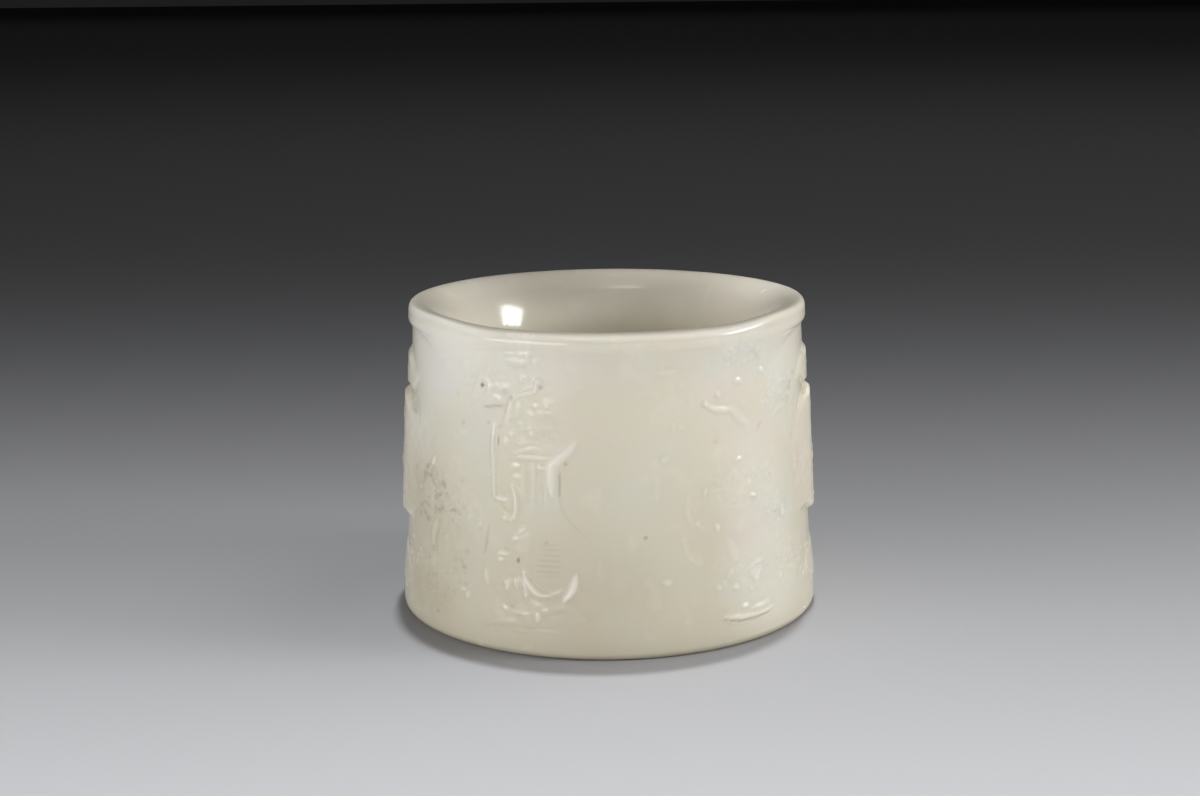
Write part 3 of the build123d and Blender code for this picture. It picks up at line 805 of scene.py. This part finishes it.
def wall_values(name, grid):
    """Stores one number for each vertex of the wall. Its top row goes on over the lip."""
    values = np.zeros((rows, columns), np.float32)
    values[first_wall:first_lip] = grid
    values[first_lip:first_lip + 10] = grid[-1]
    vertex_values(name, values)


wall_values("wear", wear)
wall_values("dirt", dirt)
wall_values("stain", np.clip(stain, 0, 1))
wall_values("worked", worked * fade)

# The mouth's painted shade: a darker tint that grows over some rows of the lip and is full from there down to
# the bore. Two sides have less of it and one has more.
mouth_shade_start = first_lip + 5
MOUTH_SHADE_ROWS = [0.1, 0.18, 0.28, 0.42, 0.62, 0.85]
mouth_shade_full = mouth_shade_start + len(MOUTH_SHADE_ROWS)
mouth = np.zeros((rows, columns), np.float32)
mouth[mouth_shade_start:mouth_shade_full] = np.array(MOUTH_SHADE_ROWS)[:, None]
mouth[mouth_shade_full:first_lip + len(lip_rows) + len(dish_rows)] = 1
mouth *= 0.82 - 0.57 * np.exp(-((azimuths - 114) / 26) ** 2) - 0.15 * np.exp(-((azimuths + 112) / 18) ** 2)
mouth *= 1 + 0.22 * np.exp(-(((azimuths + 338) % 360 - 180) / 22) ** 2)
vertex_values("mouth", mouth)

# A satin finish on the foot, the lowest rows of the wall, the lip and the upper part of the dish
foot_satin = 0.33
SATIN_ROWS = [0.2, 0.3, 0.33, 0.33, 0.33, 0.36, 0.4, 0.4, 0.4, 0.4, 0.36, 0.28, 0.18, 0.08]
satin_start = first_lip + 6
satin_wall_rows = 30
satin = np.zeros((rows, columns), np.float32)
satin[satin_start:satin_start + len(SATIN_ROWS)] = np.array(SATIN_ROWS)[:, None]
satin[:first_wall] = foot_satin
satin_fade = 1 - smoothstep(0, satin_wall_rows, np.arange(satin_wall_rows))
satin[first_wall:first_wall + satin_wall_rows] = foot_satin * satin_fade[:, None]
vertex_values("satin", satin)

# Patches of colour: azimuth, height, width, height across, strength
# The pale patches are partly the jade's paler tone and partly painted sheen, chiefly the large one high on the
# left
wall_values("pale", patches([
    (47, 5.0, 9.0, 12.0, 0.5), (44, 11.0, 7.0, 9.0, 0.4), (-56, 20.5, 14.0, 9.0, 1.0),
    (-66, 16.0, 6.0, 9.0, 0.5), (-30, 20.0, 14.0, 4.0, 0.4), (60, 19.5, 8.0, 5.0, 0.4),
    (130, 18.0, 16.0, 7.0, 0.5), (-130, 6.0, 14.0, 8.0, 0.5),
]))
# The brown patches are the jade's own colour. The one low on the left is also painted shade.
wall_values("brown", patches([
    (-62, 9.0, 9.0, 10.0, 0.5), (-72, 16.6, 4.0, 3.0, 0.6), (-58, 3.0, 8.0, 5.0, 0.6),
    (-50, 7.0, 8.0, 7.0, 0.3), (-5, 5.0, 12.0, 9.0, 0.25), (76, 17.0, 2.5, 2.0, 0.5),
    (150, 8.0, 12.0, 9.0, 0.4), (-150, 13.0, 12.0, 9.0, 0.4),
]))
wall_values("green", patches([
    (-22, 20.6, 5.0, 3.0, 0.6), (-38, 15.6, 5.0, 4.0, 0.6), (-17, 10.8, 3.4, 3.4, 0.75),
    (-52, 19.0, 6.0, 4.0, 0.4), (38, 20.5, 8.0, 4.0, 0.7), (58, 17.0, 7.0, 7.0, 0.8),
    (56, 8.6, 6.0, 5.0, 0.75), (40, 5.0, 7.0, 5.0, 0.6), (5, 11.6, 4.0, 4.0, 0.3),
    (60, 4.0, 8.0, 6.0, 0.5), (120, 16.0, 12.0, 8.0, 0.6), (-110, 8.0, 12.0, 8.0, 0.5),
    (170, 5.0, 12.0, 7.0, 0.5),
]))
wall_values("pink", patches([
    (-40, 20.0, 7.0, 4.0, 0.5), (-34, 16.9, 4.0, 4.0, 0.45), (-12, 20.0, 7.0, 4.0, 0.4),
    (34, 18.6, 6.0, 3.4, 0.6), (44, 14.4, 9.0, 5.0, 0.6), (40, 8.4, 7.0, 4.0, 0.5),
    (-10, 6.0, 8.0, 6.0, 0.25), (68, 12.0, 4.0, 8.0, 0.6), (-150, 6.0, 12.0, 8.0, 0.5),
    (100, 8.0, 10.0, 8.0, 0.4),
]))
jade_ring = bpy.data.objects.new("jade_ring", mesh)
bpy.context.scene.collection.objects.link(jade_ring)
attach(jade_ring, "root")
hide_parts("thumb_ring")


class Nodes:
    """Short ways to add shader nodes to a material."""

    def __init__(self, owner):
        owner.use_nodes = True
        self.nodes = owner.node_tree.nodes
        self.links = owner.node_tree.links

    def put(self, socket, value):
        """Links a socket to another, or sets its value."""
        if isinstance(value, bpy.types.NodeSocket):
            self.links.new(value, socket)
        else:
            socket.default_value = value

    def math(self, operation, a, b=0.0):
        node = self.nodes.new("ShaderNodeMath")
        node.operation = operation
        self.put(node.inputs[0], a)
        self.put(node.inputs[1], b)
        return node.outputs[0]

    def noise(self, place, scale, detail=2.0, roughness=0.5):
        node = self.nodes.new("ShaderNodeTexNoise")
        self.put(node.inputs["Vector"], place)
        node.inputs["Scale"].default_value = scale
        node.inputs["Detail"].default_value = detail
        node.inputs["Roughness"].default_value = roughness
        return node.outputs["Fac"]

    def ramp(self, value, low, high, to_low=0.0, to_high=1.0):
        """A smooth step of a value from one range to another."""
        node = self.nodes.new("ShaderNodeMapRange")
        node.interpolation_type = "SMOOTHSTEP"
        self.put(node.inputs["Value"], value)
        node.inputs["From Min"].default_value = low
        node.inputs["From Max"].default_value = high
        node.inputs["To Min"].default_value = to_low
        node.inputs["To Max"].default_value = to_high
        return node.outputs["Result"]

    def mix(self, share, a, b, blend="MIX"):
        node = self.nodes.new("ShaderNodeMix")
        node.data_type = "RGBA"
        node.blend_type = blend
        self.put(node.inputs["Factor"], share)
        self.put(node.inputs["A"], a)
        self.put(node.inputs["B"], b)
        return node.outputs["Result"]

    def attribute(self, name):
        node = self.nodes.new("ShaderNodeAttribute")
        node.attribute_name = name
        return node.outputs["Fac"]


# The jade
jade = bpy.data.materials.new("pale_jade")
g = Nodes(jade)
shader = g.nodes["Principled BSDF"]
coordinates = g.nodes.new("ShaderNodeTexCoord").outputs["Object"]
split = g.nodes.new("ShaderNodeSeparateXYZ")
g.links.new(coordinates, split.inputs[0])
up = split.outputs["Z"]

CREAM = (0.88, 0.83, 0.69, 1)
GREEN = (0.87, 0.88, 0.79, 1)
PINK = (0.92, 0.845, 0.76, 1)
BROWN = (0.68, 0.635, 0.49, 1)
PALE_AND_SHEEN = (0.97, 0.955, 0.885, 1)
WEAR_AND_HIGHLIGHT_WHITE = (1.0, 0.955, 0.84, 1)
GROOVE = (0.40, 0.36, 0.26, 1)
STAIN = (0.20, 0.17, 0.09, 1)

# Tints that the colour is multiplied by, all painted shade: on the lower wall, at the foot's edge, on the
# upper wall and in the mouth
LOWER_WALL_SHADE = (0.86, 0.835, 0.79, 1)
FOOT_SHADE = (0.84, 0.82, 0.79, 1)
UPPER_WALL_SHADE = (0.95, 0.955, 1.0, 1)
MOUTH_EDGE_SHADE = (0.41, 0.405, 0.395, 1)
DEEP_MOUTH_SHADE = (0.75, 0.745, 0.735, 1)

cloud = g.noise(coordinates, 150.0, 3.0, 0.55)
flecks = g.noise(coordinates, 520.0, 2.0, 0.6)
colour = g.mix(g.ramp(cloud, 0.42, 0.70, 0.1, 0.5), CREAM, GREEN)
colour = g.mix(g.ramp(cloud, 0.50, 0.30, 0.0, 0.25), colour, PINK)
colour = g.mix(g.math("MULTIPLY", g.attribute("green"), g.ramp(cloud, 0.3, 0.6, 0.5, 1.0)), colour, GREEN)
colour = g.mix(g.attribute("pink"), colour, PINK)
colour = g.mix(g.math("MULTIPLY", g.attribute("brown"), g.ramp(flecks, 0.3, 0.7, 0.5, 1.0)), colour, BROWN)
# Painted shade, darker and browner towards the foot
colour = g.mix(g.ramp(up, 20 * MM, 0), colour, LOWER_WALL_SHADE, "MULTIPLY")
# Painted shade on the lowest edge of the foot
colour = g.mix(g.ramp(up, 0.6 * MM, 0.2 * MM), colour, FOOT_SHADE, "MULTIPLY")
# Painted shade, the upper wall a little darker, and cooler
colour = g.mix(g.ramp(up, 17.5 * MM, 22.2 * MM), colour, UPPER_WALL_SHADE, "MULTIPLY")
# Pale patches, partly painted sheen
colour = g.mix(g.math("MULTIPLY", g.attribute("pale"), 0.9), colour, PALE_AND_SHEEN)
# Pale flecks of the jade's own, in the white of the worn and highlighted forms
colour = g.mix(g.ramp(flecks, 0.55, 0.75, 0.0, 0.2), colour, WEAR_AND_HIGHLIGHT_WHITE)
# Painted shade in the mouth, darkest at its edge and lighter deeper down
mouth_shade_tint = g.mix(g.ramp(up, 23 * MM, 19.5 * MM), MOUTH_EDGE_SHADE, DEEP_MOUTH_SHADE)
colour = g.mix(g.attribute("mouth"), colour, mouth_shade_tint, "MULTIPLY")
colour = g.mix(g.math("MULTIPLY", g.attribute("dirt"), 0.08), colour, GROOVE)
# Worn and painted-highlight white on the raised forms
colour = g.mix(g.math("MULTIPLY", g.attribute("wear"), 0.9), colour, WEAR_AND_HIGHLIGHT_WHITE)
colour = g.mix(g.math("MULTIPLY", g.attribute("stain"), 0.92), colour, STAIN)
g.links.new(colour, shader.inputs["Base Color"])

gloss = g.ramp(g.noise(coordinates, 260.0, 2.0), 0.35, 0.7, 0.145, 0.175)
gloss = g.math("ADD", gloss, g.math("MULTIPLY", g.attribute("worked"), 0.06))
gloss = g.math("ADD", gloss, g.math("MULTIPLY", g.attribute("dirt"), 0.15))
gloss = g.math("ADD", gloss, g.math("MULTIPLY", g.attribute("stain"), 0.30))
gloss = g.math("ADD", gloss, g.math("MULTIPLY", g.attribute("satin"), 0.30))
# The mouth's painted-shade mask also makes it a little smoother
gloss = g.math("SUBTRACT", gloss, g.math("MULTIPLY", g.attribute("mouth"), 0.05))
g.links.new(gloss, shader.inputs["Roughness"])
shader.inputs["IOR"].default_value = 1.61
g.links.new(g.ramp(g.attribute("wear"), 0.0, 1.0, 0.5, 0.15), shader.inputs["Subsurface Weight"])
shader.inputs["Subsurface Radius"].default_value = (1.0, 0.9, 0.7)
shader.inputs["Subsurface Scale"].default_value = 1.8 * MM

grain = g.math("MULTIPLY", g.noise(coordinates, 1500.0, 2.0), g.math("ADD", g.attribute("worked"), 0.12))
bump = g.nodes.new("ShaderNodeBump")
bump.inputs["Strength"].default_value = 1.0
bump.inputs["Distance"].default_value = 0.04 * MM
g.links.new(grain, bump.inputs["Height"])
g.links.new(bump.outputs["Normal"], shader.inputs["Normal"])
mesh.materials.append(jade)

# Floor: one sheet of paper with painted light. It is pale in front of the ring, as a pool of light, and falls
# off to dark grey in both directions.
fall_behind = -0.045  # place along Y from which it falls off towards the back
fall_before = -0.5  # and towards the front
fall_length = 0.0745
fall_power = 1.26
near_grey = 0.563
far_grey = 0.054
far_power = 0.4
floor_mesh = bpy.data.meshes.new("floor")
floor_mesh.from_pydata([(-9, -9, 0), (9, -9, 0), (9, 9, 0), (-9, 9, 0)], [], [(0, 1, 2, 3)])
floor = bpy.data.objects.new("floor", floor_mesh)
bpy.context.scene.collection.objects.link(floor)
paper = bpy.data.materials.new("grey_paper")
g = Nodes(paper)
shader = g.nodes["Principled BSDF"]
shader.inputs["Roughness"].default_value = 0.9
shader.inputs["Specular IOR Level"].default_value = 0.1
place = g.nodes.new("ShaderNodeNewGeometry")
split = g.nodes.new("ShaderNodeSeparateXYZ")
g.links.new(place.outputs["Position"], split.inputs[0])
behind = g.math("SUBTRACT", split.outputs["Y"], fall_behind)
before = g.math("SUBTRACT", fall_before, split.outputs["Y"])
away = g.math("MAXIMUM", g.math("MAXIMUM", behind, before), 0.0)
fall = g.math("POWER", g.math("DIVIDE", away, fall_length), fall_power)
near = g.math("MULTIPLY", g.math("EXPONENT", g.math("MULTIPLY", fall, -1.0)), near_grey)
far = g.math("MULTIPLY", g.math("POWER", away, far_power), far_grey)
grey = g.math("ADD", near, far)
tint = g.nodes.new("ShaderNodeCombineColor")
g.links.new(g.math("MULTIPLY", grey, 0.98), tint.inputs[0])
g.links.new(grey, tint.inputs[1])
g.links.new(g.math("MULTIPLY", grey, 1.06), tint.inputs[2])
g.links.new(tint.outputs[0], shader.inputs["Base Color"])
floor_mesh.materials.append(paper)


# Light
def softbox(name, azimuth, elevation, distance, size, power, mirrored=False, colour=(1, 1, 1)):
    """A soft area light that faces the ring from a side. Distance and size are in metres, power in watts.

    Only a mirrored one shows in the jade's polish, as a highlight.
    """
    light = bpy.data.lights.new(name, "AREA")
    light.shape = "RECTANGLE"
    light.size, light.size_y = size
    light.energy = power
    light.color = colour
    lamp = bpy.data.objects.new(name, light)
    a = math.radians(azimuth)
    e = math.radians(elevation)
    aim = 12 * MM  # half-way up the ring
    lamp.location = (
        distance * math.cos(e) * math.sin(a),
        -distance * math.cos(e) * math.cos(a),
        distance * math.sin(e) + aim,
    )
    lamp.rotation_euler = Euler((math.pi / 2 - e, 0, a))
    lamp.visible_camera = False
    lamp.visible_glossy = mirrored
    bpy.context.scene.collection.objects.link(lamp)


warm = (1.0, 0.955, 0.87)  # colour of the fill lights
softbox("key_right", 83.5, 22.5, 0.6, (0.185, 0.15), 1.25, mirrored=True)
softbox("strip_left", -46, 4.0, 0.6, (0.52, 0.08), 0.8, mirrored=True)
softbox("soft_left", -78, 32, 0.9, (1.0, 0.6), 0.58, mirrored=True)
softbox("fill_left", -46, 26, 0.9, (0.9, 0.5), 0.96, colour=warm)
softbox("low_left", -64, 8, 0.9, (0.7, 0.2), 0.7, colour=warm)
softbox("low_right", 96, 20, 0.9, (1.2, 0.5), 1.5, colour=warm)
softbox("high_right", 92, 56, 0.9, (0.8, 0.5), 2.25, colour=warm)
softbox("low_front", 18, 8, 0.9, (1.0, 0.25), 0.78, colour=warm)
softbox("glint", -20, 62, 0.6, (0.15, 0.08), 0.17, mirrored=True)
softbox("top", 169, 82.0, 0.6, (0.025, 0.025), 2.05)
softbox("backdrop", 180, 50, 3.4, (6.0, 3.0), 9)

# The world only shows behind the floor's edge, as the far grey of the backdrop
world = bpy.data.worlds.new("studio")
world.use_nodes = True
world.node_tree.nodes["Background"].inputs["Color"].default_value = (0.012, 0.012, 0.013, 1)
bpy.context.scene.world = world
bpy.context.scene.view_settings.view_transform = "Standard"

# Camera, where the photograph was taken from. Its angles are in radians.
camera_down = 0.2113
camera_left = 0.0040
camera_roll = -0.010
camera_data = bpy.data.cameras.new("camera")
camera_data.lens = 56.73
camera_data.sensor_width = 36
camera_data.clip_end = 50
camera = bpy.data.objects.new("camera", camera_data)
camera.location = (0, -140 * MM, 45.35 * MM)
look = Euler((math.pi / 2 - camera_down, 0, camera_left)).to_matrix()
roll = Euler((0, 0, camera_roll)).to_matrix()
camera.rotation_euler = (look @ roll).to_euler()
bpy.context.scene.collection.objects.link(camera)
bpy.context.scene.camera = camera
